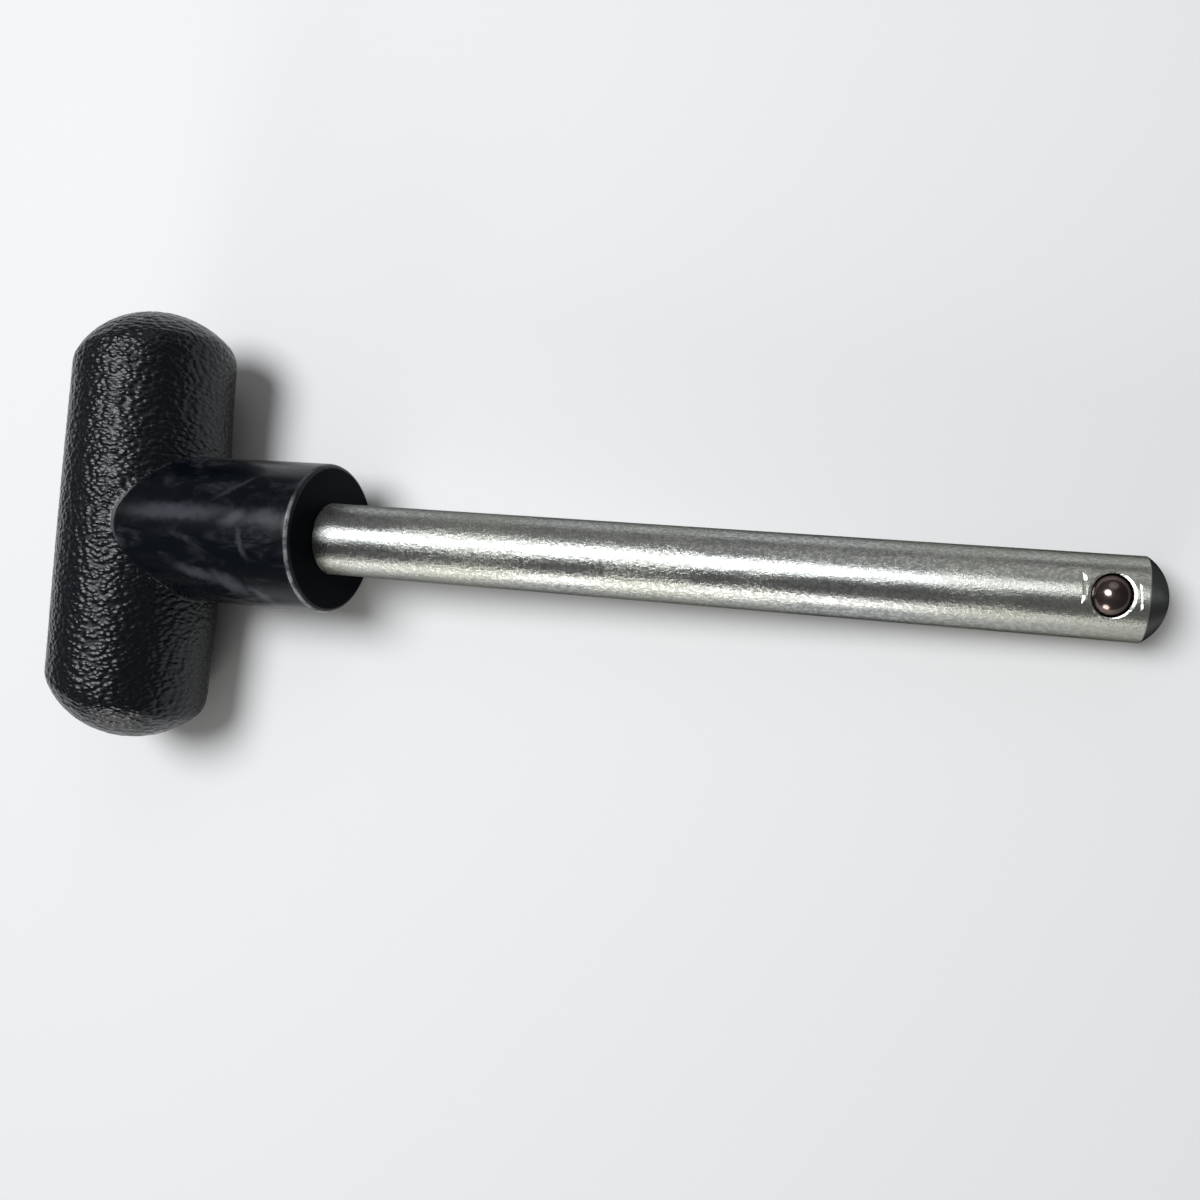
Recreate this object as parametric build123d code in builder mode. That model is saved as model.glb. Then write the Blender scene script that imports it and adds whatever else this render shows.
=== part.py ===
from build123d import *
import os
from math import sqrt

# Selector pin of a weight stack: a moulded T-handle on a steel shaft, with a sprung ball near the tip.
# Millimetres. The origin is the middle of the hub's end face, where the shaft leaves the handle.
# +X runs along the shaft to its tip, the grip lies along Y, and the ball stands out towards +Z.

# Shaft, turned from 3/8 inch bar
shaft_d = 9.525
shaft_reach = 103.0  # hub's end face to the crown of the tip
tip_crown_h = 2.6  # height of the domed tip
root_length = 33.0  # length moulded into the handle
root_chamfer = 0.8
root_groove_count = 2  # rings that the plastic grips
root_groove_pitch = 5.0
root_groove_w = 2.0
root_groove_depth = 0.6
root_flat_length = 10.0  # two flats that stop the shaft turning in the handle
root_flat_depth = 0.8

# Detent: a ball that a spring pushes outwards, in a blind hole across the shaft
ball_d = 4.5
ball_setback = 3.7  # from the rim of the domed tip back to the ball
ball_proud = 1.2  # how far the ball stands out of the shaft
bore_clearance = 0.15  # round the ball
floor_thickness = 1.8  # shaft left below the hole
lip_thickness = 0.25  # staked skin of metal that keeps the ball in
lip_clearance = 0.03
mouth_slope_w = 0.35  # slope struck all round the mouth, across
mouth_slope_h = 0.14  # and down
stake_offset = 2.8  # chisel marks either side of the ball that drew the lip in
stake_depth = 0.2
stake_width = 0.45
spring_wire_d = 0.5
spring_pitch = 1.1
spring_clearance = 0.2  # between the coils and the hole
spring_end_gap = 0.03

# Hub of the handle
hub_d = 20.0
hub_edge_r = 0.7
hub_root_r = 0.4  # in the corner where the hub meets the grip

# Grip: a bar across the hub, straight on the palm side and bowed on the shaft side
grip_offset = 30.6  # hub's end face to the middle of the grip
grip_length = 60.0
grip_width = 21.2  # along the shaft
grip_depth = 21.6  # across the T
grip_bow = 1.4  # how much slimmer the arms run out towards their ends
end_shift = 1.0  # crown of each domed end, this much nearer the shaft than the grip's middle
end_ease = 0.3  # between the grip's sides and the sphere that makes the dome
end_edge_r = 5.5

# Worked out from the sizes above
shaft_r = shaft_d / 2
tip_edge_x = shaft_reach - tip_crown_h
tip_crown_r = (shaft_r**2 + tip_crown_h**2) / (2 * tip_crown_h)
first_groove_x = root_flat_length - root_length + root_groove_pitch
ball_r = ball_d / 2
ball_x = tip_edge_x - ball_setback
ball_z = shaft_r + ball_proud - ball_r
bore_r = ball_r + bore_clearance
floor_z = floor_thickness - shaft_r
lip_r = shaft_r - lip_thickness
lip_half_x = sqrt((ball_r + lip_clearance) ** 2 - (lip_r - ball_z) ** 2)
lip_half_y = bore_r - lip_clearance
coil_r = bore_r - spring_clearance - spring_wire_d / 2
coil_inner_r = coil_r - spring_wire_d / 2
spring_base_z = floor_z + spring_end_gap
spring_top_z = ball_z - sqrt(ball_r**2 - coil_inner_r**2) - spring_end_gap
end_radius = max(grip_width / 2 + end_shift, grip_depth / 2) + end_ease
dome_x = end_shift - grip_offset
dome_y = grip_length / 2 - end_radius

os.makedirs("parts", exist_ok=True)

# Blind hole for the ball and spring, round below the skin of metal that keeps the ball in
with BuildPart() as ball_hole:
    with BuildSketch(Plane.XY.offset(floor_z)):
        with Locations((ball_x, 0)):
            Circle(bore_r)
    extrude(amount=shaft_d)
    with BuildSketch(Plane.YZ.offset(ball_x)):
        Circle(lip_r)
    extrude(amount=shaft_d, both=True, mode=Mode.INTERSECT)

# Shaft: one turned profile from the root in the handle to the domed tip
with BuildPart() as pin_shaft:
    with BuildSketch(Plane.XZ):
        with BuildLine():
            Polyline(
                (tip_edge_x, shaft_r),
                (root_chamfer - root_length, shaft_r),
                (-root_length, shaft_r - root_chamfer),
                (-root_length, 0),
                (shaft_reach, 0),
            )
            RadiusArc((shaft_reach, 0), (tip_edge_x, shaft_r), -tip_crown_r)
        make_face()
    revolve(axis=Axis.X)
    with BuildSketch(Plane.XZ):
        for i in range(root_groove_count):
            with Locations((first_groove_x + i * root_groove_pitch, shaft_r)):
                Rectangle(root_groove_w, 2 * root_groove_depth)
    revolve(axis=Axis.X, mode=Mode.SUBTRACT)
    with BuildSketch(Plane.YZ.offset(-root_length)):
        with Locations((0, shaft_r), (0, -shaft_r)):
            Rectangle(shaft_d, 2 * root_flat_depth)
    extrude(amount=root_flat_length, mode=Mode.SUBTRACT)
    add(ball_hole.part, mode=Mode.SUBTRACT)
    # the opening through that skin, drawn in along the shaft
    with BuildSketch(Plane.XY.offset(ball_z)):
        with Locations((ball_x, 0)):
            Ellipse(lip_half_x, lip_half_y)
    extrude(amount=shaft_r, mode=Mode.SUBTRACT)
    # its mouth, struck down to a slope all round
    bar_face = pin_shaft.faces().sort_by(SortBy.AREA)[-1]
    mouth_edges = pin_shaft.edges(Select.LAST).filter_by(lambda edge: edge in bar_face.edges())
    chamfer(mouth_edges, mouth_slope_w, mouth_slope_h, reference=bar_face)
    # straight chisel marks across the crest
    with BuildSketch(Plane.XZ):
        with Locations((ball_x - stake_offset, shaft_r), (ball_x + stake_offset, shaft_r)):
            Polygon((-stake_width, stake_depth), (0, -stake_depth), (stake_width, stake_depth), align=None)
    extrude(amount=shaft_r, both=True, mode=Mode.SUBTRACT)
pin_shaft.part.label = "pin_shaft"
export_step(pin_shaft.part, "parts/pin_shaft.step")

# Ball, held in its hole by the lip
with BuildPart() as detent_ball:
    with Locations((ball_x, 0, ball_z)):
        Sphere(ball_r)
detent_ball.part.label = "detent_ball"
export_step(detent_ball.part, "parts/detent_ball.step")

# Spring below the ball, its ends ground flat
with BuildPart() as detent_spring:
    with BuildLine():
        coil = Helix(spring_pitch, spring_top_z - spring_base_z, coil_r, center=(ball_x, 0, spring_base_z))
    with BuildSketch(Plane(origin=coil @ 0, z_dir=coil % 0)):
        Circle(spring_wire_d / 2)
    sweep(is_frenet=True)
    split(bisect_by=Plane.XY.offset(spring_base_z), keep=Keep.TOP)
    split(bisect_by=Plane.XY.offset(spring_top_z), keep=Keep.BOTTOM)
detent_spring.part.label = "detent_spring"
export_step(detent_spring.part, "parts/detent_spring.step")

# Handle: grip and hub in one moulding round the shaft's root
with BuildPart() as t_handle:
    for y in (-grip_length / 2, 0, grip_length / 2):
        bow = grip_bow if y else 0
        with BuildSketch(Plane.XZ.offset(-y)):
            with Locations((-grip_offset - bow / 2, 0)):
                Ellipse((grip_width - bow) / 2, (grip_depth - bow) / 2)
    loft()
    # domed ends
    with BuildSketch(Plane.XY):
        with BuildLine():
            Line((dome_x, -grip_length / 2), (dome_x, grip_length / 2))
            RadiusArc((dome_x, grip_length / 2), (dome_x + end_radius, dome_y), end_radius)
            Line((dome_x + end_radius, dome_y), (dome_x + end_radius, -dome_y))
            RadiusArc((dome_x + end_radius, -dome_y), (dome_x, -grip_length / 2), end_radius)
        make_face()
    revolve(axis=Axis((dome_x, 0, 0), (0, 1, 0)), mode=Mode.INTERSECT)
    fillet(t_handle.edges().filter_by(lambda edge: abs(edge.center().Y) > dome_y), end_edge_r)
    # hub
    with BuildSketch(Plane.YZ.offset(-grip_offset)):
        Circle(hub_d / 2)
    extrude(amount=grip_offset)
    fillet(t_handle.edges(Select.NEW), hub_root_r)
    fillet(t_handle.faces().sort_by(Axis.X)[-1].edges(), hub_edge_r)
    add(pin_shaft.part, mode=Mode.SUBTRACT)
t_handle.part.label = "t_handle"
export_step(t_handle.part, "parts/t_handle.step")
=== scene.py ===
from math import radians, pi, cos, sin, tan, acos, sqrt

import bpy
import bmesh
from mathutils import Matrix, Vector


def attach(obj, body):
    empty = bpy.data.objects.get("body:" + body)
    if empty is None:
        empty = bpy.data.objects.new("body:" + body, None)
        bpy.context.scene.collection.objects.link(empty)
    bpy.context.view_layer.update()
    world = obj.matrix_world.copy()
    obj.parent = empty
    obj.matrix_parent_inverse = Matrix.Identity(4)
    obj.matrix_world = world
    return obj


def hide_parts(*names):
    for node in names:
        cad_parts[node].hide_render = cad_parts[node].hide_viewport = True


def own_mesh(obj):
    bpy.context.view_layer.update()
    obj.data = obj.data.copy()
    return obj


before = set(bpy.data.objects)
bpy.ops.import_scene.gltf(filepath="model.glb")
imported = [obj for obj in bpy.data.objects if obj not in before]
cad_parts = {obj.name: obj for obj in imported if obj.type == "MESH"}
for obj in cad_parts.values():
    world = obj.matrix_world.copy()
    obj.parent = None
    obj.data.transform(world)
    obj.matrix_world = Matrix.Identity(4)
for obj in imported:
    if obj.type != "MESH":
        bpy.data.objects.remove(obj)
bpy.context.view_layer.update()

# Weight stack pin: a grained T-handle on a zinc-plated shaft with a sprung ball near its tip.
# Everything is in metres, in the CAD frame: +X runs down the shaft, the grip lies along Y.
# The sizes in the dictionaries are in millimetres where they say mm.

mm = 0.001
weldDistance = 1e-7  # m, corners closer than this are one
hair = 1e-4  # a length that counts as nothing while the grip is drawn in mm
scene = bpy.context.scene


# helpers for meshes

def addObject(name, bm):
    # turns a finished bmesh into an object at the origin
    mesh = bpy.data.meshes.new(name)
    bm.to_mesh(mesh)
    bm.free()
    obj = bpy.data.objects.new(name, mesh)
    scene.collection.objects.link(obj)
    return obj


def turn(bm, degrees, axis):
    bmesh.ops.rotate(bm, verts=bm.verts, cent=(0, 0, 0), matrix=Matrix.Rotation(radians(degrees), 3, axis))


def move(bm, offset):
    bmesh.ops.translate(bm, verts=bm.verts, vec=offset)


def addRod(bm, radius, length, segments):
    # closed cylinder along Z, its sizes in millimetres
    bmesh.ops.create_cone(
        bm, cap_ends=True, segments=segments, radius1=radius * mm, radius2=radius * mm, depth=length * mm
    )


def spinProfile(name, points, segments):
    # turns a half profile of (x, radius) points, in millimetres, round the shaft's line
    bm = bmesh.new()
    verts = [bm.verts.new((x * mm, 0, radius * mm)) for x, radius in points]
    edges = [bm.edges.new(pair) for pair in zip(verts, verts[1:])]
    bmesh.ops.spin(
        bm, geom=verts + edges, cent=(0, 0, 0), axis=(1, 0, 0), angle=2 * pi, steps=segments, use_merge=True
    )
    bmesh.ops.remove_doubles(bm, verts=bm.verts, dist=weldDistance)
    bmesh.ops.recalc_face_normals(bm, faces=bm.faces)
    return addObject(name, bm)


def bakeModifiers(obj):
    # keeps what the modifiers make as the object's own mesh
    bpy.context.view_layer.update()
    graph = bpy.context.evaluated_depsgraph_get()
    baked = bpy.data.meshes.new_from_object(obj.evaluated_get(graph))
    old = obj.data
    obj.modifiers.clear()
    obj.data = baked
    bpy.data.meshes.remove(old)
    obj.data.name = obj.name


def joinShape(obj, other, operation):
    # cuts or adds one closed shape, then throws the tool away
    step = obj.modifiers.new(operation.title(), "BOOLEAN")
    step.operation = operation
    step.solver = "EXACT"
    step.object = other
    bakeModifiers(obj)
    bpy.data.objects.remove(other)


def weld(obj):
    # joins corners that lie on one another and drops the faces that this flattens
    bm = bmesh.new()
    bm.from_mesh(obj.data)
    bmesh.ops.remove_doubles(bm, verts=bm.verts, dist=weldDistance)
    bmesh.ops.dissolve_degenerate(bm, edges=bm.edges, dist=weldDistance)
    bm.to_mesh(obj.data)
    bm.free()


def smoothShade(obj, sharpAngle):
    obj.data.shade_smooth()
    obj.data.set_sharp_from_angle(angle=radians(sharpAngle))


# helpers for nodes

def addNode(tree, kind, **settings):
    node = tree.nodes.new(kind)
    for name, value in settings.items():
        setattr(node, name, value)
    return node


def fillSocket(tree, socket, value):
    # a socket is linked, anything else is set as its value
    if isinstance(value, bpy.types.NodeSocket):
        tree.links.new(value, socket)
    else:
        socket.default_value = value


def setInputs(tree, node, *inOrder, **byName):
    # in a name, an underscore stands for a space
    for socket, value in zip(node.inputs, inOrder):
        fillSocket(tree, socket, value)
    for name, value in byName.items():
        fillSocket(tree, node.inputs[name.replace("_", " ")], value)


def calc(tree, operation, a, b=0.5):
    node = addNode(tree, "ShaderNodeMath", operation=operation)
    setInputs(tree, node, a, b)
    return node.outputs[0]


def vectorCalc(tree, operation, a, b=(0, 0, 0), c=(0, 0, 0), scale=1.0):
    node = addNode(tree, "ShaderNodeVectorMath", operation=operation)
    setInputs(tree, node, a, b, c, scale)
    return node.outputs["Value" if operation == "LENGTH" else "Vector"]


def mapRange(tree, value, source, target=(0.0, 1.0), smooth=True):
    # from the source's (low, high) to the target's
    node = addNode(tree, "ShaderNodeMapRange", interpolation_type="SMOOTHSTEP" if smooth else "LINEAR")
    setInputs(tree, node, value, *source, *target)
    return node.outputs[0]


def noise(tree, vector, scale, detail=2.0, roughness=0.5, distortion=0.0, output="Fac"):
    node = addNode(tree, "ShaderNodeTexNoise", noise_dimensions="3D")
    setInputs(tree, node, Vector=vector, Scale=scale)
    setInputs(tree, node, Detail=detail, Roughness=roughness, Distortion=distortion)
    return node.outputs[output]


def wander(tree, place, noiseSettings, distance):
    # shifts a place about by a soft noise, by up to the distance either way
    cloud = noise(tree, place, *noiseSettings, output="Color")
    centred = vectorCalc(tree, "SUBTRACT", cloud, (0.5, 0.5, 0.5))
    return vectorCalc(tree, "MULTIPLY_ADD", centred, (2 * distance,) * 3, place)


def ramp(tree, factor, stops):
    # colour ramp from (position, colour) stops
    node = addNode(tree, "ShaderNodeValToRGB")
    elements = node.color_ramp.elements
    for element, (position, colour) in zip(elements, (stops[0], stops[-1])):
        element.position = position
        element.color = (*colour, 1)
    for position, colour in stops[1:-1]:
        elements.new(position).color = (*colour, 1)
    setInputs(tree, node, Fac=factor)
    return node.outputs["Color"]


def mixColour(tree, factor, a, b):
    node = addNode(tree, "ShaderNodeMix", data_type="RGBA")
    fillSocket(tree, node.inputs[0], factor)
    for socket, colour in zip(node.inputs[6:8], (a, b)):  # the two colour sockets
        fillSocket(tree, socket, colour if isinstance(colour, bpy.types.NodeSocket) else (*colour, 1))
    return node.outputs[2]


def addBump(tree, height, distance, strength=1.0):
    node = addNode(tree, "ShaderNodeBump")
    setInputs(tree, node, Height=height, Distance=distance, Strength=strength)
    return node.outputs["Normal"]


def objectPlace(tree):
    return addNode(tree, "ShaderNodeTexCoord").outputs["Object"]


def inMillimetres(tree, place):
    return vectorCalc(tree, "SCALE", place, scale=1 / mm)


def splitAxes(tree, vector):
    node = addNode(tree, "ShaderNodeSeparateXYZ")
    setInputs(tree, node, vector)
    return node.outputs[:]


def layOut(tree):
    # sets each node one column to the left of what it feeds
    columnWidth = 220
    rowHeight = 260
    columns = {node.name: 0 for node in tree.nodes}
    for passes in tree.nodes:
        for link in tree.links:
            source = link.from_node.name
            columns[source] = max(columns[source], columns[link.to_node.name] + 1)
    filled = {}
    for node in tree.nodes:
        column = columns[node.name]
        row = filled.get(column, 0)
        filled[column] = row + 1
        node.location = (-columnWidth * column, -rowHeight * row)


def newMaterial(name):
    material = bpy.data.materials.new(name)
    material.use_nodes = True
    tree = material.node_tree
    return material, tree, tree.nodes["Principled BSDF"]


# camera

camera = {
    "place": (79.474, -6.571, 120.501),  # mm, above the shaft and looking down at it
    "turn": (1.502, 15.034, 5.294),  # degrees about X, Y and Z
    "sensor": 36,  # mm
    "lens": 30.565,
    "shiftX": -0.0539,
    "shiftY": 0.0129,
    "clip": (0.01, 20),  # m
}

eye = bpy.data.cameras.new("camera")
eye.sensor_width = camera["sensor"]
eye.lens = camera["lens"]
eye.shift_x = camera["shiftX"]
eye.shift_y = camera["shiftY"]
eye.clip_start, eye.clip_end = camera["clip"]
eyeObject = bpy.data.objects.new("camera", eye)
eyeObject.location = Vector(camera["place"]) * mm
eyeObject.rotation_euler = [radians(angle) for angle in camera["turn"]]
scene.collection.objects.link(eyeObject)
scene.camera = eyeObject
print("camera set")


# handle: grained grip and smooth hub in one moulding

grip = {
    "middleX": -30.6,  # mm
    "width": 21.2,  # along the shaft
    "depth": 21.6,  # across the T
    "length": 60.0,
    "bow": 1.4,  # how much slimmer the arms run out at their ends
    "domeX": -29.6,  # middle of the sphere that domes each end
    "domeRadius": 11.9,
    "domeEdge": 5.5,  # radius between dome and sides
    "segments": 272,
    "domeRings": 66,
    "bodyRings": 150,
    "sharpAngle": 40,  # degrees
}

hub = {
    "radius": 10.0,  # mm
    "edge": 0.7,
    "edgeSteps": 8,
    "rings": 60,  # along its length
    "segments": 192,
    "rearX": -29.0,  # its side ends in the grip before here
    "socketRadius": 4.79,  # the shaft's root sits in it
    "socketDepth": 33.1,
    "socketSegments": 96,
    "rootWeld": 0.002,  # corners that the join leaves closer than this are one
    "rootAngle": -25,  # degrees, a hollow corner sharper than this is the root
    "rootReach": 0.6,  # mm, longest edge that carries the softening on
    "rootSmoothing": 3,  # passes
}

grain = {
    "around": 0.92,  # mm, size of a pebble round the bar
    "along": 0.56,  # and along it
    "warp": 0.26,  # mm that the pattern wanders
    "warpNoise": (0.75, 2.0),  # scale per mm, detail
    "randomness": 0.95,
    "smoothness": 0.12,  # where pebbles meet
    "grooveAt": 0.78,  # distance from a pebble's middle to its groove, in pebbles
    "steepness": 1.35,  # of a pebble's sides
    "depth": 0.06,  # mm
    "wornNoise": (0.55, 1.0),  # shallower patches
    "wornRange": (0.32, 0.60),
    "wornDepth": (0.80, 1.0),  # share of the depth that a patch keeps
    "hubGap": 0.05,  # mm left smooth round the hub
    "hubFade": 0.25,  # mm over which the grain sets in there
    "palmFade": 1.0,  # mm over which it sets in behind the hub
}


def sideReach(direction, y):
    # from the dome's middle out to the grip's oval side at height y, along a direction in XZ
    bow = grip["bow"] * (y / (grip["length"] / 2)) ** 2
    halfX = (grip["width"] - bow) / 2
    halfZ = (grip["depth"] - bow) / 2
    fromX = grip["domeX"] - (grip["middleX"] - bow / 2)
    a = (direction.x / halfX) ** 2 + (direction.z / halfZ) ** 2
    b = 2 * fromX * direction.x / halfX**2
    c = (fromX / halfX) ** 2 - 1
    return (-b + sqrt(b * b - 4 * a * c)) / (2 * a)


def shapeGrip(bm, domeY):
    # draws the plain capsule out to the real bar: oval, bowed, with rounded domes
    dome = grip["domeRadius"]
    nearAxis = 1e-6
    for vert in bm.verts:
        onSide = abs(vert.co.y) <= domeY
        middleY = max(-domeY, min(domeY, vert.co.y))
        offset = vert.co - Vector((0, middleY, 0))
        around = Vector((offset.x, 0, offset.z))
        if around.length < nearAxis:
            around = Vector((1, 0, 0))
        around.normalize()
        tilt = offset.normalized()
        level = 1.0 if onSide else max(sqrt(tilt.x**2 + tilt.z**2), hair)
        lift = 0.0 if onSide else tilt.y
        reach = sideReach(around, vert.co.y) / level
        # the radius between side and dome, as deep as the corner that it takes off
        share = min(sideReach(around, domeY) / dome, 1.0)
        blend = 4 * grip["domeEdge"] * (1 / cos(acos(share) / 2) - 1) + hair
        lean = max(blend - abs(reach - dome), 0) / blend
        out = min(reach, dome) - lean * lean * blend / 4
        vert.co = Vector((grip["domeX"], middleY, 0)) + around * (out * level) + Vector((0, out * lift, 0))


def makeGrip():
    # a ball opened at its middle, its halves drawn apart and bridged, then drawn out to the bar
    domeY = grip["length"] / 2 - grip["domeRadius"]
    bm = bmesh.new()
    bmesh.ops.create_uvsphere(bm, u_segments=grip["segments"], v_segments=2 * grip["domeRings"], radius=1)
    turn(bm, -90, "X")
    equator = [e for e in bm.edges if all(abs(v.co.y) < hair for v in e.verts)]
    bmesh.ops.split_edges(bm, edges=equator)
    for side in (1, -1):
        half = [v for v in bm.verts if side * sum(f.calc_center_median().y for f in v.link_faces) > 0]
        bmesh.ops.translate(bm, verts=half, vec=(0, side * domeY, 0))
    bridged = bmesh.ops.bridge_loops(bm, edges=[e for e in bm.edges if e.is_boundary])
    ribs = [e for e in bridged["edges"] if abs(e.verts[0].co.y - e.verts[1].co.y) > domeY]
    bmesh.ops.subdivide_edges(bm, edges=ribs, cuts=grip["bodyRings"], use_grid_fill=True)
    shapeGrip(bm, domeY)
    bmesh.ops.scale(bm, verts=bm.verts, vec=(mm, mm, mm))
    bmesh.ops.recalc_face_normals(bm, faces=bm.faces)
    return addObject("grip", bm)


def makeHub():
    radius = hub["radius"]
    edge = hub["edge"]
    start = grip["middleX"]
    points = [(start, 0)]
    for ring in range(hub["rings"]):
        points.append((start + (-edge - start) * ring / hub["rings"], radius))
    for step in range(hub["edgeSteps"] + 1):
        angle = radians(90) * step / hub["edgeSteps"]
        points.append((edge * (sin(angle) - 1), radius - edge + edge * cos(angle)))
    points.append((0, 0))
    return spinProfile("hub", points, hub["segments"])


def makeSocket():
    # cutter for the shaft's root, open past the end face
    overshoot = 5  # mm
    length = hub["socketDepth"] + overshoot
    bm = bmesh.new()
    addRod(bm, hub["socketRadius"], length, hub["socketSegments"])
    turn(bm, 90, "Y")
    move(bm, ((length / 2 - hub["socketDepth"]) * mm, 0, 0))
    return addObject("socket", bm)


def fillGrain(tree, position):
    # pebbled leather grain from a position in metres: crown height 0 to 1, and where there is grain
    place = inMillimetres(tree, position)
    shifted = wander(tree, place, grain["warpNoise"], grain["warp"])
    pebble = (grain["around"], grain["along"], grain["around"])
    stretched = vectorCalc(tree, "DIVIDE", shifted, pebble)
    cells = addNode(tree, "ShaderNodeTexVoronoi", feature="SMOOTH_F1", voronoi_dimensions="3D")
    setInputs(tree, cells, Vector=stretched, Scale=1.0)
    setInputs(tree, cells, Smoothness=grain["smoothness"], Randomness=grain["randomness"])
    reach = mapRange(tree, cells.outputs["Distance"], (0.0, grain["grooveAt"]), smooth=False)
    fall = calc(tree, "POWER", reach, grain["steepness"])
    # some grooves are shallow, so pebbles run together
    worn = noise(tree, place, *grain["wornNoise"])
    groove = calc(tree, "MULTIPLY", fall, mapRange(tree, worn, grain["wornRange"], grain["wornDepth"]))
    # the hub and its corner stay smooth
    x, y, z = splitAxes(tree, place)
    square = calc(tree, "ADD", calc(tree, "POWER", y, 2.0), calc(tree, "POWER", z, 2.0))
    smoothRadius = hub["radius"] + grain["hubGap"]
    outside = mapRange(tree, calc(tree, "SQRT", square), (smoothRadius, smoothRadius + grain["hubFade"]))
    behind = mapRange(tree, x, (hub["rearX"], hub["rearX"] - grain["palmFade"]))
    grained = calc(tree, "MAXIMUM", outside, behind)
    height = calc(tree, "SUBTRACT", 1.0, calc(tree, "MULTIPLY", groove, grained))
    return height, grained


def pressGrain(obj):
    # presses the grain's grooves into the mesh
    tree = bpy.data.node_groups.new("pressedGrain", "GeometryNodeTree")
    tree.interface.new_socket("Geometry", in_out="INPUT", socket_type="NodeSocketGeometry")
    tree.interface.new_socket("Geometry", in_out="OUTPUT", socket_type="NodeSocketGeometry")
    start = addNode(tree, "NodeGroupInput")
    height = fillGrain(tree, addNode(tree, "GeometryNodeInputPosition").outputs[0])[0]
    push = calc(tree, "MULTIPLY", calc(tree, "SUBTRACT", height, 1.0), grain["depth"] * mm)
    normal = addNode(tree, "GeometryNodeInputNormal").outputs[0]
    offset = vectorCalc(tree, "SCALE", normal, scale=push)
    shift = addNode(tree, "GeometryNodeSetPosition")
    setInputs(tree, shift, Geometry=start.outputs[0], Offset=offset)
    setInputs(tree, addNode(tree, "NodeGroupOutput"), shift.outputs[0])
    layOut(tree)
    step = obj.modifiers.new("pressedGrain", "NODES")
    step.node_group = tree
    bakeModifiers(obj)


def softenHubRoot(obj):
    # rounds the corner where hub and grip meet
    bm = bmesh.new()
    bm.from_mesh(obj.data)
    bmesh.ops.remove_doubles(bm, verts=bm.verts, dist=hub["rootWeld"] * mm)
    bm.verts.index_update()
    corner = set()
    for edge in bm.edges:
        middle = (edge.verts[0].co + edge.verts[1].co) / 2
        hollow = edge.is_manifold and edge.calc_face_angle_signed(0) < radians(hub["rootAngle"])
        if hollow and middle.x > hub["rearX"] * mm:
            corner.update(edge.verts)
    near = set(corner)
    for vert in corner:
        for edge in vert.link_edges:
            if edge.calc_length() < hub["rootReach"] * mm:
                near.add(edge.other_vert(vert))
    inOrder = sorted(near, key=lambda vert: vert.index)
    for passes in range(hub["rootSmoothing"]):
        bmesh.ops.smooth_vert(
            bm, verts=inOrder, factor=0.5, use_axis_x=True, use_axis_y=True, use_axis_z=True
        )
    bm.to_mesh(obj.data)
    bm.free()


handle = makeGrip()
handle.name = "handle"
joinShape(handle, makeHub(), "UNION")
softenHubRoot(handle)
pressGrain(handle)
joinShape(handle, makeSocket(), "DIFFERENCE")
weld(handle)
smoothShade(handle, grip["sharpAngle"])
print("handle made:", len(handle.data.polygons), "faces")


# shaft: turned, domed and zinc plated, with the detent's hole

shaft = {
    "radius": 4.7625,  # mm
    "reach": 103.0,
    "crown": 2.6,
    "crownSteps": 28,
    "rimSteps": 4,
    "rimRound": 0.06,  # the dome's rim is only just broken
    "rootLength": 33.0,
    "rootChamfer": 0.8,
    "segments": 288,
    "sharpAngle": 15,  # degrees
}

detent = {
    "middleX": 96.7,  # mm
    "floorZ": -2.9625,
    "boreRadius": 2.40,
    "skin": 0.25,  # metal left over the bore, which keeps the ball in
    "lipHalfX": 2.135,
    "lipHalfY": 2.37,
    "slopeAlong": 0.32,  # slope struck all round the mouth: its width along the shaft
    "slopeAcross": 0.19,  # and across it
    "slopeDepth": 0.13,
    # chisel marks: start past the ball's middle, middle and half length across, depth, lean, width, slope
    "marks": (
        (-3.02, 1.76, 0.44, 0.16, 6, 0.40, 18),
        (-3.02, 0.54, 0.80, 0.16, 6, 0.34, -24),
        (-3.02, -0.68, 0.42, 0.11, 2, 0.40, 18),
        (2.70, 0.0, 3.0, 0.235, 0, 0.28, 18),
    ),
    "markTurn": 6,  # degrees off square to the shaft
    "markFlare": 0.03,  # how much a mark's walls lean out
    # crumbs of metal raised at the mouth: angle round the hole, length, width, height
    "burrs": (
        (-114, 0.80, 0.30, 0.40),
        (-95, 0.40, 0.24, 0.34),
        (-133, 0.55, 0.20, 0.26),
        (-76, 0.50, 0.16, 0.22),
    ),
    "burrOut": 0.20,  # from the lip out to a burr's middle
    "burrSink": 0.03,  # and how far that lies below the shaft's skin
    "ringSegments": 160,
}


def makeShaftBlank():
    radius = shaft["radius"]
    rim = shaft["reach"] - shaft["crown"]
    crownRadius = (radius**2 + shaft["crown"] ** 2) / (2 * shaft["crown"])
    spread = acos((crownRadius - shaft["crown"]) / crownRadius)
    points = [(-shaft["rootLength"], 0), (-shaft["rootLength"], radius - shaft["rootChamfer"])]
    points.append((shaft["rootChamfer"] - shaft["rootLength"], radius))
    for step in range(shaft["rimSteps"] + 1):
        share = step / shaft["rimSteps"]
        drop = shaft["rimRound"] / 2 * share**2
        points.append((rim - shaft["rimRound"] * (1 - share) ** 2, radius - drop))
    for step in range(1, shaft["crownSteps"] + 1):
        angle = spread * (1 - step / shaft["crownSteps"])
        points.append((shaft["reach"] - crownRadius * (1 - cos(angle)), crownRadius * sin(angle)))
    return spinProfile("shaft", points, shaft["segments"])


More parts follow.
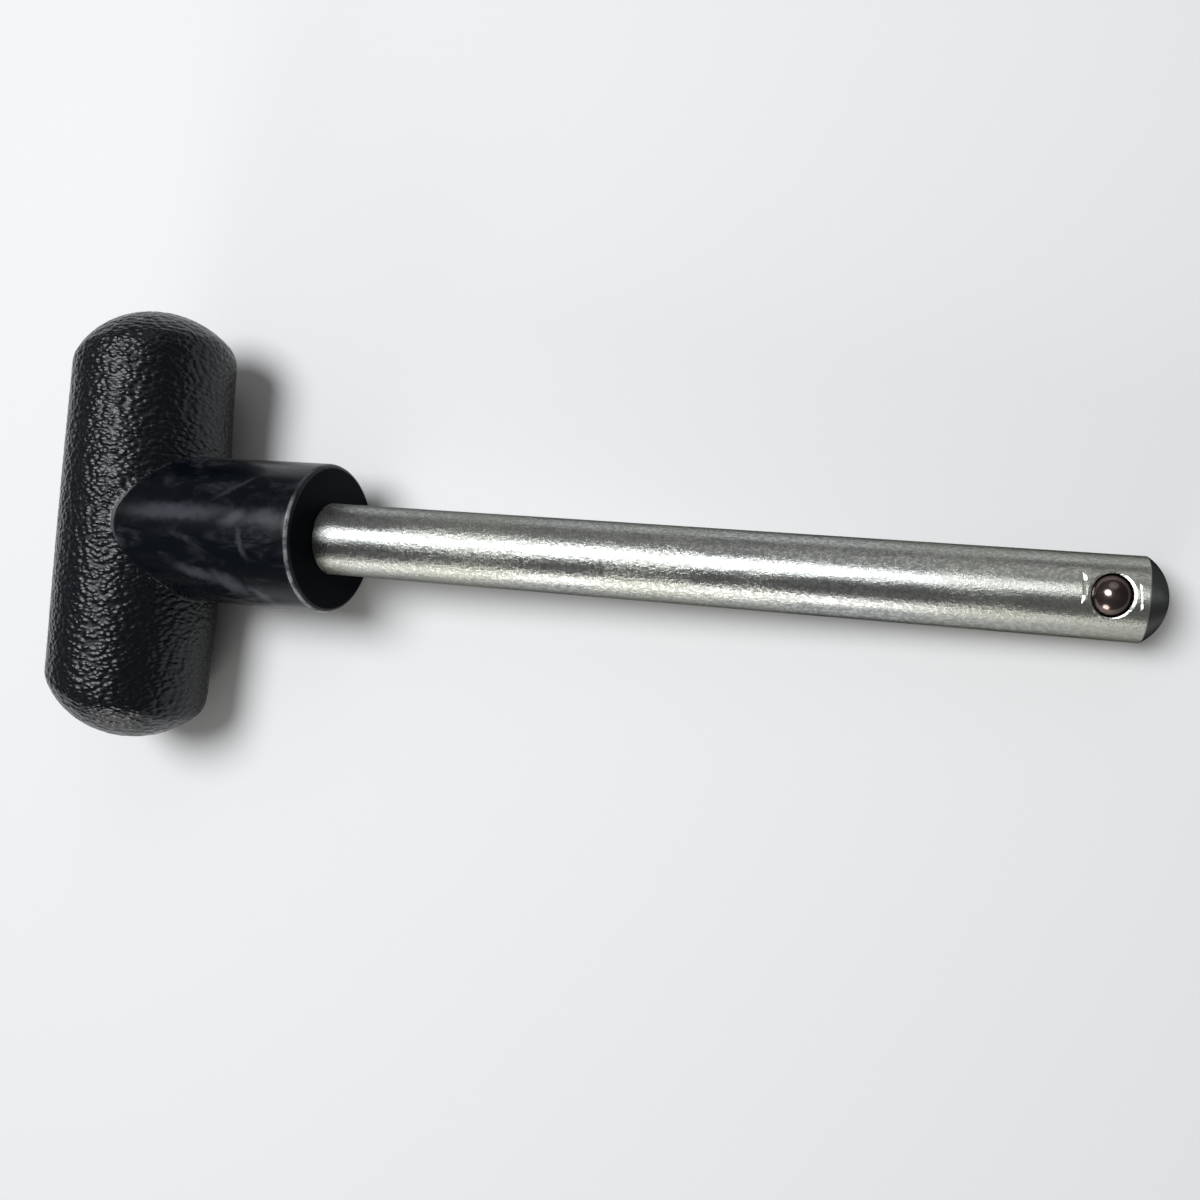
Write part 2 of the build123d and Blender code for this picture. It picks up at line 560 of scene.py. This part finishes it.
def makeBorePlug():
    # the round blind hole, closed above by a skin that follows the shaft
    height = shaft["radius"] - detent["floorZ"]
    bm = bmesh.new()
    addRod(bm, detent["boreRadius"], height, detent["ringSegments"])
    move(bm, (detent["middleX"] * mm, 0, detent["floorZ"] * mm + height / 2 * mm))
    plug = addObject("borePlug", bm)
    cutterLength = 8  # mm, longer than the hole is wide
    bm = bmesh.new()
    addRod(bm, shaft["radius"] - detent["skin"], cutterLength, shaft["segments"])
    turn(bm, 90, "Y")
    move(bm, (detent["middleX"] * mm, 0, 0))
    joinShape(plug, addObject("underSkin", bm), "INTERSECT")
    return plug


def makeMouthPlug():
    # the oval opening through the skin, with a slope round it that follows the shaft
    plugBottom = 1.5  # mm, down in the hole
    plugTop = shaft["radius"] + 2
    bm = bmesh.new()
    # a drum of four rings, a unit apart
    bmesh.ops.create_cone(bm, cap_ends=True, segments=detent["ringSegments"], radius1=1, radius2=1, depth=3)
    upright = [e for e in bm.edges if abs(e.verts[0].co.z - e.verts[1].co.z) > 1]
    bmesh.ops.subdivide_edges(bm, edges=upright, cuts=2, use_grid_fill=True)
    for vert in bm.verts:
        ring = round(vert.co.z + 1.5)
        # the upper two rings stand as far past the shaft's skin as the slope goes below it
        grow = 2 if ring > 1 else 0
        x = vert.co.x * (detent["lipHalfX"] + grow * detent["slopeAlong"])
        y = vert.co.y * (detent["lipHalfY"] + grow * detent["slopeAcross"])
        depth = detent["slopeDepth"] if ring == 1 else -detent["slopeDepth"]
        curve = sqrt((shaft["radius"] - depth) ** 2 - y**2)
        z = (plugBottom, curve, curve, plugTop)[ring]
        vert.co = Vector((detent["middleX"] + x, y, z)) * mm
    bmesh.ops.recalc_face_normals(bm, faces=bm.faces)
    return addObject("mouthPlug", bm)


def makeMarkCutter(start, middleY, half, depth, lean, width, slope):
    # one blow of a flat chisel: its floor rises or falls towards the tip between two steep walls
    flare = detent["markFlare"]
    top = depth + 0.4  # clear of the shaft
    points = [(0, 0), (width, width * tan(radians(slope))), (width + flare, top), (-flare, top)]
    bm = bmesh.new()
    face = bm.faces.new([bm.verts.new((x * mm, -half * mm, z * mm)) for x, z in points])
    swept = bmesh.ops.extrude_face_region(bm, geom=[face])
    ends = [v for v in swept["geom"] if isinstance(v, bmesh.types.BMVert)]
    bmesh.ops.translate(bm, verts=ends, vec=(0, 2 * half * mm, 0))
    turn(bm, -lean, "X")
    turn(bm, detent["markTurn"], "Z")
    bottom = sqrt(shaft["radius"] ** 2 - middleY**2) - depth
    move(bm, Vector((detent["middleX"] + start, middleY, bottom)) * mm)
    bmesh.ops.recalc_face_normals(bm, faces=bm.faces)
    return addObject("markCutter", bm)


def makeBurr(angle, length, width, height):
    # a crumb of metal half sunk in the shaft at the edge of the hole
    x = (detent["lipHalfX"] + detent["burrOut"]) * cos(radians(angle))
    y = (detent["lipHalfY"] + detent["burrOut"]) * sin(radians(angle))
    z = sqrt((shaft["radius"] - detent["burrSink"]) ** 2 - y**2)
    bm = bmesh.new()
    bmesh.ops.create_icosphere(bm, subdivisions=3, radius=1)
    bmesh.ops.scale(bm, verts=bm.verts, vec=(width / 2 * mm, length / 2 * mm, height / 2 * mm))
    turn(bm, angle, "Z")
    move(bm, Vector((detent["middleX"] + x, y, z)) * mm)
    return addObject("burr", bm)


shaftPiece = makeShaftBlank()
joinShape(shaftPiece, makeBorePlug(), "DIFFERENCE")
joinShape(shaftPiece, makeMouthPlug(), "DIFFERENCE")
for mark in detent["marks"]:
    joinShape(shaftPiece, makeMarkCutter(*mark), "DIFFERENCE")
for burr in detent["burrs"]:
    joinShape(shaftPiece, makeBurr(*burr), "UNION")
weld(shaftPiece)
smoothShade(shaftPiece, shaft["sharpAngle"])
print("shaft made:", len(shaftPiece.data.polygons), "faces")


# ball and spring

ball = {
    "radius": 2.25,  # mm
    "z": 3.7125,
    "segments": 96,
    "rings": 64,
    "sharpAngle": 60,  # degrees
}

spring = {
    "wire": 0.5,  # mm
    "coilRadius": 1.95,
    "pitch": 1.1,
    "baseZ": -2.9325,
    "topZ": 2.2086,
    "stepsPerTurn": 36,
    "wireSegments": 14,
    "sharpAngle": 50,  # degrees
    "pressedKeep": 0.767,  # share of its height left when the ball is pushed in
}


def makeBall():
    bm = bmesh.new()
    bmesh.ops.create_uvsphere(
        bm, u_segments=ball["segments"], v_segments=ball["rings"], radius=ball["radius"] * mm
    )
    move(bm, (detent["middleX"] * mm, 0, ball["z"] * mm))
    return addObject("ball", bm)


def closeHoles(bm):
    bmesh.ops.holes_fill(bm, edges=[e for e in bm.edges if e.is_boundary], sides=0)


def makeSpring():
    # a ring of wire screwed upwards, its ends ground flat
    bm = bmesh.new()
    rise = spring["topZ"] - spring["baseZ"]
    turns = rise / spring["pitch"]
    steps = round(turns * spring["stepsPerTurn"])
    bmesh.ops.create_circle(bm, segments=spring["wireSegments"], radius=spring["wire"] / 2 * mm)
    turn(bm, 90, "X")
    move(bm, Vector((detent["middleX"] + spring["coilRadius"], 0, spring["baseZ"])) * mm)
    bmesh.ops.spin(
        bm,
        geom=bm.verts[:] + bm.edges[:],
        cent=(detent["middleX"] * mm, 0, 0),
        axis=(0, 0, 1),
        dvec=(0, 0, rise / steps * mm),
        angle=2 * pi * turns,
        steps=steps,
        use_merge=False,
    )
    closeHoles(bm)
    for level, isTop in ((spring["baseZ"], False), (spring["topZ"], True)):
        bmesh.ops.bisect_plane(
            bm,
            geom=bm.verts[:] + bm.edges[:] + bm.faces[:],
            plane_co=(0, 0, level * mm),
            plane_no=(0, 0, 1),
            clear_inner=not isTop,
            clear_outer=isTop,
        )
        closeHoles(bm)
    bmesh.ops.recalc_face_normals(bm, faces=bm.faces)
    return addObject("spring", bm)


ballPiece = makeBall()
smoothShade(ballPiece, ball["sharpAngle"])
springPiece = makeSpring()
smoothShade(springPiece, spring["sharpAngle"])
print("ball and spring made")


# finishes of the handle

# each noise gives its scale per metre, detail, roughness and distortion
fineNoise = (5200, 3.0, 0.6)  # pores and dust in all its plastic


def addFine(tree, place):
    return noise(tree, place, *fineNoise)


def makeGrainGroup():
    group = bpy.data.node_groups.new("pebbledGrain", "ShaderNodeTree")
    group.interface.new_socket("Position", in_out="INPUT", socket_type="NodeSocketVector")
    for name in ("Height", "Grained"):
        group.interface.new_socket(name, in_out="OUTPUT", socket_type="NodeSocketFloat")
    start = addNode(group, "NodeGroupInput")
    end = addNode(group, "NodeGroupOutput")
    setInputs(group, end, *fillGrain(group, start.outputs[0]))
    layOut(group)
    return group


grainedPlastic = {
    # painted shade and sheen: darker in the grooves, lighter and bluer up to the pebbles' crowns
    "colours": (
        (0.0, (0.0002, 0.0009, 0.0022)),
        (0.6, (0.0006, 0.0020, 0.0044)),
        (1.0, (0.0010, 0.0030, 0.0064)),
    ),
    "polished": (0.2, 0.9),  # height over which the crowns get their polish
    "roughness": (0.30, 0.17),  # in the grooves, on the crowns
    "fineRoughness": 0.06,
    "pores": (0.02, 0.12),  # height where it is smooth, and on the pebbles
    "relief": 0.00013,  # m
    "ior": 1.40,
}


def makeGrainedPlastic():
    material, tree, surface = newMaterial("grainedPlastic")
    finish = grainedPlastic
    place = objectPlace(tree)
    pebbles = addNode(tree, "ShaderNodeGroup", node_tree=makeGrainGroup())
    setInputs(tree, pebbles, Position=place)
    height = pebbles.outputs["Height"]
    fine = addFine(tree, place)
    rough = mapRange(tree, height, finish["polished"], finish["roughness"])
    rough = calc(tree, "ADD", rough, calc(tree, "MULTIPLY", fine, finish["fineRoughness"]))
    poreHeight = mapRange(tree, pebbles.outputs["Grained"], (0.0, 1.0), finish["pores"])
    relief = calc(tree, "ADD", height, calc(tree, "MULTIPLY", fine, poreHeight))
    bump = addBump(tree, relief, finish["relief"])
    # its colour by height is painted shade in the grooves and painted sheen on the crowns
    setInputs(tree, surface, Base_Color=ramp(tree, height, finish["colours"]), Roughness=rough)
    setInputs(tree, surface, Normal=bump, IOR=finish["ior"])
    layOut(tree)
    return material


scuffsAndSheen = (  # pale marks on the hub, scuff marks and a painted highlight streak: middle along and across, half length, half width (mm), turn, strength
    (-8.4, 1.2, 2.3, 1.1, 20, 1.0),
    (-7.0, -1.7, 2.4, 0.55, -72, 0.75),
    (-14.5, -6.2, 3.6, 0.9, -12, 0.9),
    (-10.2, -7.2, 2.8, 1.3, -30, 0.9),
    (-6.2, -8.6, 1.8, 0.8, -40, 1.0),
    # painted highlight: this long streak along the top and the next one at -3.5 stand in for the lamp's
    # gloss on the hub
    (-17.5, 1.6, 8.5, 1.3, 2, 1.0),
    (-3.5, 1.5, 3.2, 1.3, -4, 0.9),
    (-9.5, 5.2, 3.4, 0.45, 38, 0.5),
    (-5.5, 8.9, 3.6, 0.8, 0, 0.8),
)

scuffAndSheenEdge = {
    "raggedNoise": (650, 3.0, 0.6),
    "ragged": 0.75,  # mm that the edge wanders
    "fade": (0.2, 1.25),  # from full strength out to none, in half sizes
    "above": (0.0, 1.0),  # mm, they lie on the upper side only
}


def fillScuffsAndSheen(tree, place):
    # soft ragged ovals, the strongest one where they overlap
    moved = wander(tree, place, scuffAndSheenEdge["raggedNoise"], scuffAndSheenEdge["ragged"] * mm)
    total = 0.0
    for x, y, halfLength, halfWidth, degrees, strength in scuffsAndSheen:
        oval = addNode(tree, "ShaderNodeMapping", vector_type="TEXTURE")
        setInputs(tree, oval, Vector=moved, Location=(x * mm, y * mm, 0), Rotation=(0, 0, radians(degrees)))
        # it is a metre deep, so that height hardly counts
        setInputs(tree, oval, Scale=(halfLength * mm, halfWidth * mm, 1))
        reach = vectorCalc(tree, "LENGTH", oval.outputs[0])
        total = calc(tree, "MAXIMUM", total, mapRange(tree, reach, scuffAndSheenEdge["fade"], (strength, 0.0)))
    height = splitAxes(tree, inMillimetres(tree, place))[2]
    return calc(tree, "MULTIPLY", total, mapRange(tree, height, scuffAndSheenEdge["above"]))


smoothPlastic = {
    "colour": (0.0006, 0.0018, 0.0036),
    # pale colour of the smears, and of the painted highlight streak among the scuff marks
    "hazeAndSheenColour": (0.048, 0.052, 0.062),
    "hazeTurn": 28,  # degrees, the smears lie aslant along the hub
    "hazeScale": (130, 330, 330),  # per metre, so they are long and narrow
    "hazeNoise": (1.0, 3.0, 0.55, 1.6),
    "hazeRange": (0.42, 0.72),
    "hazeStrength": 0.6,
    "cloudNoise": (170, 3.0, 0.55, 0.6),  # breaks up haze, scuff marks and the painted highlight streak
    "cloudRange": (0.38, 0.66),
    "scuffAndSheenRange": (0.3, 0.6),
    "scuffAndSheenKeep": (0.75, 1.0),
    "rimSheenColour": (0.27, 0.275, 0.28),  # painted highlight: the rounded rim is painted pale grey
    "rimFrom": (-0.72, -0.50),  # mm along the hub, where the wear sets in
    "rimTo": (-0.30, -0.12),  # and where it ends
    "rimNoise": (420, 3.0, 0.6),
    "rimRange": (0.38, 0.62),
    "rimKeep": (0.25, 1.0),
    "rimFade": (2.5, 6.0),  # mm across, it is held less towards +Y
    "rimFadeKeep": (1.0, 0.2),
    "rimPolish": 0.12,
    "smearRange": (0.3, 0.8),
    "roughness": (0.20, 0.30),
    "fineRoughness": 0.06,
    "smearHeight": 0.8,
    "relief": 0.000008,  # m
    "reliefStrength": 0.5,
    "ior": 1.28,
}


def makeSmoothPlastic():
    material, tree, surface = newMaterial("smoothPlastic")
    finish = smoothPlastic
    place = objectPlace(tree)
    fine = addFine(tree, place)
    # pale hazy smears, scuff marks and a painted highlight streak, broken up by one cloud
    slant = addNode(tree, "ShaderNodeMapping")
    setInputs(tree, slant, Vector=place, Scale=finish["hazeScale"])
    setInputs(tree, slant, Rotation=(0, 0, radians(finish["hazeTurn"])))
    smear = noise(tree, slant.outputs[0], *finish["hazeNoise"])
    cloud = noise(tree, place, *finish["cloudNoise"])
    smeared = mapRange(tree, smear, finish["hazeRange"])
    haze = calc(tree, "MULTIPLY", smeared, mapRange(tree, cloud, finish["cloudRange"]))
    haze = calc(tree, "MULTIPLY", haze, finish["hazeStrength"])
    scuffAndSheenKeep = mapRange(tree, cloud, finish["scuffAndSheenRange"], finish["scuffAndSheenKeep"])
    haze = calc(tree, "MAXIMUM", haze, calc(tree, "MULTIPLY", fillScuffsAndSheen(tree, place), scuffAndSheenKeep))
    # painted highlight: the rounded rim is painted pale grey here and there, and made glossier
    x, y, z = splitAxes(tree, inMillimetres(tree, place))
    rimFrom = mapRange(tree, x, finish["rimFrom"])
    rimSheen = calc(tree, "MULTIPLY", rimFrom, mapRange(tree, x, finish["rimTo"], (1.0, 0.0)))
    rimBreakup = noise(tree, place, *finish["rimNoise"])
    rimSheen = calc(tree, "MULTIPLY", rimSheen, mapRange(tree, rimBreakup, finish["rimRange"], finish["rimKeep"]))
    rimSheen = calc(tree, "MULTIPLY", rimSheen, mapRange(tree, y, finish["rimFade"], finish["rimFadeKeep"]))
    plain = mixColour(tree, haze, finish["colour"], finish["hazeAndSheenColour"])
    colour = mixColour(tree, rimSheen, plain, finish["rimSheenColour"])
    rough = mapRange(tree, smear, finish["smearRange"], finish["roughness"])
    rough = calc(tree, "ADD", rough, calc(tree, "MULTIPLY", fine, finish["fineRoughness"]))
    rough = calc(tree, "SUBTRACT", rough, calc(tree, "MULTIPLY", rimSheen, finish["rimPolish"]))
    relief = calc(tree, "ADD", fine, calc(tree, "MULTIPLY", smear, finish["smearHeight"]))
    bump = addBump(tree, relief, finish["relief"], finish["reliefStrength"])
    setInputs(tree, surface, Base_Color=colour, Roughness=rough, Normal=bump, IOR=finish["ior"])
    layOut(tree)
    return material


# painted shade: a low-gloss copy of the hub's plastic, for the end face that lies in shade
shadedEndPlastic = {
    "colours": ((0.0005, 0.0014, 0.0028), (0.0012, 0.0024, 0.0044)),
    "cloudNoise": (400, 2.0, 0.5),
    "fineRange": (0.3, 0.7),
    "roughness": (0.48, 0.60),
    "relief": 0.00001,  # m
    "reliefStrength": 0.5,
    "ior": 1.28,
    "specular": 0.1,
    "fromX": -0.03,  # mm, it begins this near the hub's end
}


def makeShadedEndPlastic():
    material, tree, surface = newMaterial("shadedEndPlastic")
    finish = shadedEndPlastic
    place = objectPlace(tree)
    fine = addFine(tree, place)
    colour = mixColour(tree, noise(tree, place, *finish["cloudNoise"]), *finish["colours"])
    rough = mapRange(tree, fine, finish["fineRange"], finish["roughness"])
    bump = addBump(tree, fine, finish["relief"], finish["reliefStrength"])
    setInputs(tree, surface, Base_Color=colour, Roughness=rough, Normal=bump, IOR=finish["ior"])
    setInputs(tree, surface, Specular_IOR_Level=finish["specular"])
    layOut(tree)
    return material


def paintHub(obj, smooth, dull):
    # the hub's smooth side as far as the corner against the grip, and its end face, which gets a low-gloss
    # copy of the plastic as painted shade
    obj.data.materials.append(smooth)
    obj.data.materials.append(dull)
    cornerGap = 0.12  # mm
    reach = (hub["radius"] + cornerGap) * mm
    for face in obj.data.polygons:
        middle = face.center
        if middle.x > hub["rearX"] * mm and sqrt(middle.y**2 + middle.z**2) < reach:
            face.material_index = 2 if middle.x > shadedEndPlastic["fromX"] * mm else 1


# finishes of the metal pieces

zinc = {
    "gritScale": (2400, 3300, 3300),  # per metre
    "glintNoise": (2.2, 2.0, 0.6, 0.4),  # scales in grit
    "fleckNoise": (0.8, 3.0, 0.65),
    "driftNoise": (70, 2.0, 0.5),  # slow change along the shaft
    "fleckRange": (0.38, 0.62),
    "glintRange": (0.36, 0.64),
    "colours": (
        (0.0, (0.335, 0.345, 0.34)),
        (0.5, (0.43, 0.44, 0.43)),
        (1.0, (0.55, 0.56, 0.545)),
    ),
    "warmColour": (0.445, 0.455, 0.380),
    "warmRange": (0.35, 0.7),  # patches of it
    "warmTip": (70, 100),  # mm along the shaft, and more of it towards the tip
    "warmth": (0.0, 0.5),
    "domeShadeColour": (0.095, 0.098, 0.096),  # painted shade: the domed end is painted darker than the drawn side; it is also duller
    "domeRoughness": 0.22,
    "domeEdge": (-0.02, 0.10),  # mm past the rim
    "glintRoughness": (0.26, 0.36),
    "fleckRoughness": (0.05, -0.04),
    "glintHeight": 0.5,
    "coarseRange": (0.35, 0.65),
    "coarse": (0.5, 1.5),  # flecks are higher in some stretches than in others
    "relief": 0.000012,  # m
    "brushed": 0.88,  # how far its highlights are drawn out
    "brushedTurn": 0.25,  # of a full turn
    "edgeTint": (0.10, 0.10, 0.10, 1),  # keeps its outer edges dark
}


def makeZinc():
    material, tree, surface = newMaterial("zincPlate")
    finish = zinc
    place = objectPlace(tree)
    x = splitAxes(tree, inMillimetres(tree, place))[0]
    grit = vectorCalc(tree, "MULTIPLY", place, finish["gritScale"])
    glint = mapRange(tree, noise(tree, grit, *finish["glintNoise"]), finish["glintRange"])
    fleck = mapRange(tree, noise(tree, grit, *finish["fleckNoise"]), finish["fleckRange"])
    drift = noise(tree, place, *finish["driftNoise"])
    patches = mapRange(tree, drift, finish["warmRange"], finish["warmth"])
    towardsTip = mapRange(tree, x, finish["warmTip"], finish["warmth"])
    warmth = calc(tree, "ADD", patches, towardsTip)
    body = mixColour(tree, warmth, ramp(tree, fleck, finish["colours"]), finish["warmColour"])
    rim = shaft["reach"] - shaft["crown"]
    domed = mapRange(tree, x, [rim + past for past in finish["domeEdge"]])
    # painted shade on the domed end
    colour = mixColour(tree, domed, body, finish["domeShadeColour"])
    rough = mapRange(tree, glint, (0.0, 1.0), finish["glintRoughness"])
    rough = calc(tree, "ADD", rough, mapRange(tree, fleck, (0.0, 1.0), finish["fleckRoughness"]))
    rough = calc(tree, "ADD", rough, calc(tree, "MULTIPLY", domed, finish["domeRoughness"]))
    flecks = calc(tree, "ADD", fleck, calc(tree, "MULTIPLY", glint, finish["glintHeight"]))
    relief = calc(tree, "MULTIPLY", flecks, mapRange(tree, drift, finish["coarseRange"], finish["coarse"]))
    bump = addBump(tree, relief, finish["relief"])
    setInputs(tree, surface, Base_Color=colour, Metallic=1.0, Roughness=rough, Normal=bump)
    # ground round and round, so its highlights run along the shaft
    turned = addNode(tree, "ShaderNodeTangent", direction_type="RADIAL", axis="X").outputs[0]
    setInputs(tree, surface, Tangent=turned, Anisotropic=finish["brushed"])
    setInputs(tree, surface, Anisotropic_Rotation=finish["brushedTurn"], Specular_Tint=finish["edgeTint"])
    layOut(tree)
    return material


ballSteel = {
    "stainNoise": (700, 3.0, 0.55),
    "colours": ((0.3, (0.13, 0.10, 0.09)), (0.7, (0.24, 0.195, 0.18))),
    "paintedShadeColour": (0.055, 0.045, 0.042),  # painted shade: the side towards the tip is painted darker
    "darkFrom": (-0.6, 1.3),  # mm past the ball's middle
    "darkness": (0.0, 0.75),
    "scratchScale": (900, 9000, 900),  # per metre, so they are drawn out
    "scratchNoise": (1.0, 2.0),
    "scratchRange": (0.3, 0.7),
    "roughness": (0.13, 0.21),
    "relief": 0.00001,  # m
    "reliefStrength": 0.1,
    "edgeTint": (0.15, 0.15, 0.15, 1),
}


def makeBallSteel():
    material, tree, surface = newMaterial("ballSteel")
    finish = ballSteel
    place = objectPlace(tree)
    stain = noise(tree, place, *finish["stainNoise"])
    x = splitAxes(tree, inMillimetres(tree, place))[0]
    darkFrom = [detent["middleX"] + past for past in finish["darkFrom"]]
    # painted shade towards the tip
    darker = mapRange(tree, x, darkFrom, finish["darkness"])
    colour = mixColour(tree, darker, ramp(tree, stain, finish["colours"]), finish["paintedShadeColour"])
    drawnOut = vectorCalc(tree, "MULTIPLY", place, finish["scratchScale"])
    scratches = noise(tree, drawnOut, *finish["scratchNoise"])
    rough = mapRange(tree, scratches, finish["scratchRange"], finish["roughness"])
    bump = addBump(tree, scratches, finish["relief"], finish["reliefStrength"])
    setInputs(tree, surface, Base_Color=colour, Metallic=1.0, Roughness=rough, Normal=bump)
    setInputs(tree, surface, Specular_Tint=finish["edgeTint"])
    layOut(tree)
    return material


springSteel = {
    "drawnNoise": (2500, 3.0, 0.6),
    "colours": ((0.3, (0.34, 0.33, 0.31)), (0.7, (0.52, 0.51, 0.49))),
    "drawnRange": (0.3, 0.7),
    "roughness": (0.25, 0.38),
    "relief": 0.00001,  # m
    "reliefStrength": 0.2,
}


def makeSpringSteel():
    material, tree, surface = newMaterial("springSteel")
    finish = springSteel
    drawn = noise(tree, objectPlace(tree), *finish["drawnNoise"])
    rough = mapRange(tree, drawn, finish["drawnRange"], finish["roughness"])
    bump = addBump(tree, drawn, finish["relief"], finish["reliefStrength"])
    colour = ramp(tree, drawn, finish["colours"])
    setInputs(tree, surface, Base_Color=colour, Metallic=1.0, Roughness=rough, Normal=bump)
    layOut(tree)
    return material


for piece, finish in (
    (handle, makeGrainedPlastic()),
    (shaftPiece, makeZinc()),
    (ballPiece, makeBallSteel()),
    (springPiece, makeSpringSteel()),
):
    piece.data.materials.clear()
    piece.data.materials.append(finish)
paintHub(handle, makeSmoothPlastic(), makeShadedEndPlastic())
print("finishes made")


# what each piece stands for

for piece, node, body, slot in (
    (handle, "t_handle", "pin", "handle_plastic"),
    (shaftPiece, "pin_shaft", "pin", "shaft_steel"),
    (ballPiece, "detent_ball", "ball", "ball_steel"),
    (springPiece, "detent_spring", "pin", "spring_steel"),
):
    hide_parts(node)
    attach(piece, body)
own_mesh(springPiece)
print("pieces tied to the frame")


# floor and light

studio = {
    # the pin lies on its tip, its hub's edge and one end of the grip
    "floorNormal": (-0.0518, 0.0519, 0.9973),
    "floorDrop": 9.95,  # mm from the origin down to it
    "floorSize": 4.0,  # m
    "floorColour": (0.83, 0.83, 0.83, 1),
    "floorRoughness": 0.9,
    "floorSpecular": 0.1,
    "roomColour": (1, 1, 1, 1),
    "roomLight": 0.17,
}

lamps = {  # places, sizes and aims in mm
    "keyLamp": {
        "place": (-130, 106, 478),
        "aim": (20, 0, 0),
        "size": (265, 330),
        "power": 2.35,
        "colour": (0.96, 0.98, 1.0),
    },
    "sideLamp": {
        "place": (-110, -600, 140),
        "aim": (20, 0, 0),
        "size": (300, 300),
        "power": 1.6,
        "colour": (1.0, 0.985, 0.95),
    },
    "fillLamp": {
        "place": (130, 440, 310),
        "aim": (60, 0, 0),
        "size": (420, 400),
        "power": 0.24,
        "colour": (1.0, 1.0, 1.0),
    },
}


def makeFloor():
    up = Vector(studio["floorNormal"]).normalized()
    bm = bmesh.new()
    bmesh.ops.create_grid(bm, x_segments=1, y_segments=1, size=studio["floorSize"] / 2)
    bmesh.ops.rotate(bm, verts=bm.verts, cent=(0, 0, 0), matrix=up.to_track_quat("Z", "Y").to_matrix())
    bmesh.ops.translate(bm, verts=bm.verts, vec=-up * studio["floorDrop"] * mm)
    floor = addObject("floor", bm)
    material, tree, surface = newMaterial("paper")
    setInputs(tree, surface, Base_Color=studio["floorColour"], Roughness=studio["floorRoughness"])
    setInputs(tree, surface, Specular_IOR_Level=studio["floorSpecular"])
    floor.data.materials.append(material)


def addLamp(name, settings):
    place = Vector(settings["place"])
    lamp = bpy.data.lights.new(name, "AREA")
    lamp.shape = "ELLIPSE"
    lamp.size, lamp.size_y = [width * mm for width in settings["size"]]
    lamp.energy = settings["power"]
    lamp.color = settings["colour"]
    lampObject = bpy.data.objects.new(name, lamp)
    lampObject.location = place * mm
    lampObject.rotation_euler = (place - Vector(settings["aim"])).to_track_quat("Z", "Y").to_euler()
    scene.collection.objects.link(lampObject)


makeFloor()
for name, settings in lamps.items():
    addLamp(name, settings)

room = bpy.data.worlds.new("room")
room.use_nodes = True
setInputs(room.node_tree, room.node_tree.nodes["Background"], studio["roomColour"], studio["roomLight"])
scene.world = room
scene.view_settings.view_transform = "Standard"
print("floor and light set")
